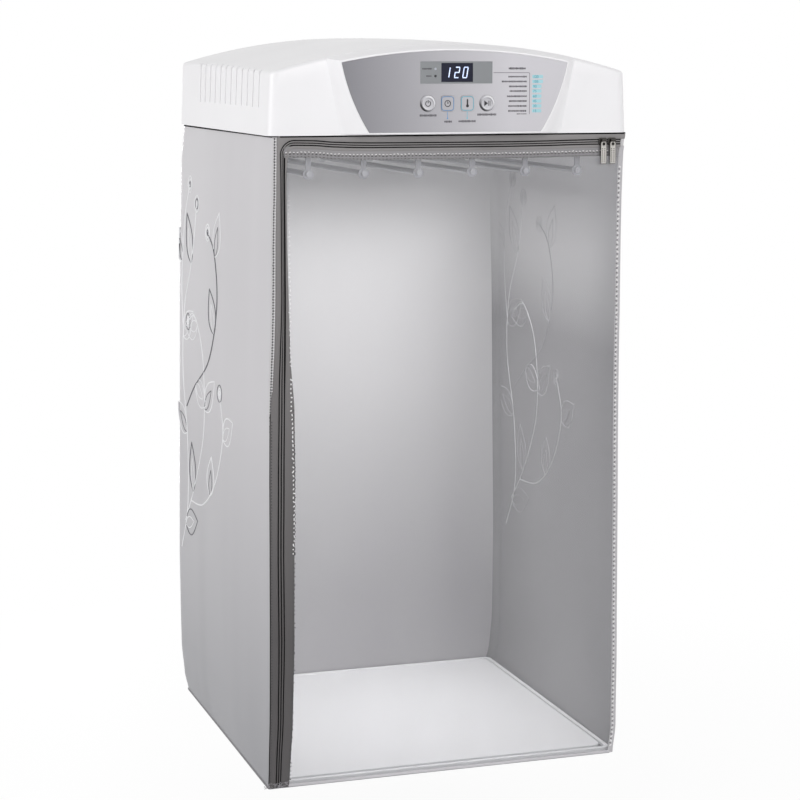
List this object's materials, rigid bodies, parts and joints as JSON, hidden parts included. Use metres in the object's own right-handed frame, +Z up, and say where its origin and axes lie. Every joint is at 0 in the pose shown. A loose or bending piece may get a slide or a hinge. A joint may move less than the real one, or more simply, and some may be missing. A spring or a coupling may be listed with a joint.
{
  "type": "wall-hung fabric clothes dryer",
  "caption": "Wall-hung clothes dryer: arched white fan and heater head with a control panel, over a zipped silver-grey cloth bag with a clear door and hanging rods.",
  "frame": {"origin": "centre of the four wall screws, on the wall's surface", "axes": "+X to the right as seen from the front, +Y into the wall, +Z up; the front faces -Y"},
  "size_m": [0.551, 0.5624, 1.08],
  "materials": {
    "white_shell": "satin white moulded plastic",
    "silver_panel": "silver-grey printed film, pale to dark across",
    "window_grey": "grey translucent window",
    "digit_field": "dark digit field",
    "lit_digits": "lit pale blue",
    "lens": "small clear lenses",
    "round_keys": "silver-white caps with a bevelled ring",
    "square_keys": "silver caps with a coloured outline",
    "circuit_board": "green board",
    "dark_plastic": "matt dark plastic",
    "pale_plastic": "natural pale plastic",
    "plain_steel": "zinc-plated sheet",
    "duct_steel": "plated sheet tube",
    "heater_fins": "heat-tinted fins",
    "motor_can": "black painted can",
    "bright_steel": "bright plated bar",
    "screws": "plated screws",
    "loom": "grey sleeve over wires",
    "dark_rail": "dark plastic rail",
    "side_cloth": "silver-grey coated cloth",
    "floor_white": "white board",
    "front_tape": "dark grey woven band",
    "binding": "light grey binding with zig-zag stitches",
    "zip_coil": "dark nylon teeth",
    "clear_sheet": "clear soft sheet",
    "pull_metal": "nickel-plated zip metal"
  },
  "bodies": {
    "cabinet": {"rear_panel": "white_shell", "head_base": "white_shell", "head_cover": "white_shell", "front_fascia": "white_shell", "control_panel": "silver_panel", "display_window": "window_grey", "display_module": "digit_field", "display_digits": "lit_digits", "indicator_lenses": "lens", "control_board": "circuit_board", "key_switches": "dark_plastic", "outlet_grille": "dark_plastic", "thermal_cutout": "dark_plastic", "power_module": "dark_plastic", "cord_gland": "dark_plastic", "fan_shroud": "pale_plastic", "wall_plate": "plain_steel", "heater_tray": "plain_steel", "motor_bracket": "plain_steel", "front_comb": "plain_steel", "rear_comb": "plain_steel", "hanger_brackets": "plain_steel", "heater_duct": "duct_steel", "heater_core": "heater_fins", "fan_motor": "motor_can", "hanger_bar": "bright_steel", "hanging_rod_1": "bright_steel", "hanging_rod_2": "bright_steel", "hanging_rod_3": "bright_steel", "hanging_rod_4": "bright_steel", "hanging_rod_5": "bright_steel", "hanging_rod_6": "bright_steel", "cover_screws": "screws", "board_screws": "screws", "grille_screws": "screws", "wiring_loom": "loom", "bag_rail": "dark_rail", "bag_left": "side_cloth", "bag_right": "side_cloth", "bag_back": "side_cloth", "bag_floor": "side_cloth", "floor_plate": "floor_white", "base_frame": "floor_white", "front_band": "front_tape", "zip_teeth_fixed": "zip_coil"},
    "fan_rotor": {"fan": "dark_plastic", "fan_shaft": "bright_steel"},
    "power_key": {"power_button": "round_keys"},
    "time_button": {"time_key": "square_keys"},
    "temperature_button": {"temperature_key": "square_keys"},
    "start_key": {"start_button": "round_keys"},
    "door": {"door_window": "clear_sheet", "door_tape": "front_tape", "door_binding": "binding", "zip_teeth_door": "zip_coil"},
    "slider_l": {"slider_left": "pull_metal"},
    "slider_r": {"slider_right": "pull_metal"},
    "tab_l": {"pull_tab_left": "pull_metal"},
    "tab_r": {"pull_tab_right": "pull_metal"}
  },
  "joints": [
    {"name": "fan_spin", "type": "hinge", "parent": "cabinet", "child": "fan_rotor", "pos_m": [0, -0.275, 0.01], "axis": [0, 0, 1], "continuous": true},
    {"name": "power_press", "type": "slide", "parent": "cabinet", "child": "power_key", "axis": [0, 1, 0], "range_m": [0, 0.001], "stiffness_N_per_m": 500, "springref_m": -0.0006},
    {"name": "time_press", "type": "slide", "parent": "cabinet", "child": "time_button", "axis": [0, 1, 0], "range_m": [0, 0.0005], "stiffness_N_per_m": 800, "springref_m": -0.0004},
    {"name": "temperature_press", "type": "slide", "parent": "cabinet", "child": "temperature_button", "axis": [0, 1, 0], "range_m": [0, 0.0005], "stiffness_N_per_m": 800, "springref_m": -0.0004},
    {"name": "start_press", "type": "slide", "parent": "cabinet", "child": "start_key", "axis": [0, 1, 0], "range_m": [0, 0.001], "stiffness_N_per_m": 500, "springref_m": -0.0006},
    {"name": "door_swing", "type": "hinge", "parent": "cabinet", "child": "door", "pos_m": [0.2642, -0.5395, -0.048], "axis": [-0.0111, 0, 0.9999], "range_deg": [0, 120]},
    {"name": "slider_left_run", "type": "slide", "parent": "door", "child": "slider_l", "axis": [1, 0, 0], "range_m": [-0.44, 0]},
    {"name": "slider_right_run", "type": "slide", "parent": "door", "child": "slider_r", "axis": [1, 0, 0], "range_m": [-0.44, 0]},
    {"name": "tab_left_swing", "type": "hinge", "parent": "slider_l", "child": "tab_l", "pos_m": [0.23334, -0.5459, -0.059], "axis": [-1, 0, 0], "range_deg": [0, 100]},
    {"name": "tab_right_swing", "type": "hinge", "parent": "slider_r", "child": "tab_r", "pos_m": [0.24785, -0.5459, -0.059], "axis": [-1, 0, 0], "range_deg": [0, 100]}
  ],
  "couplings": [
    {"joint": "slider_right_run", "follows": "slider_left_run", "ratio": 1}
  ]
}
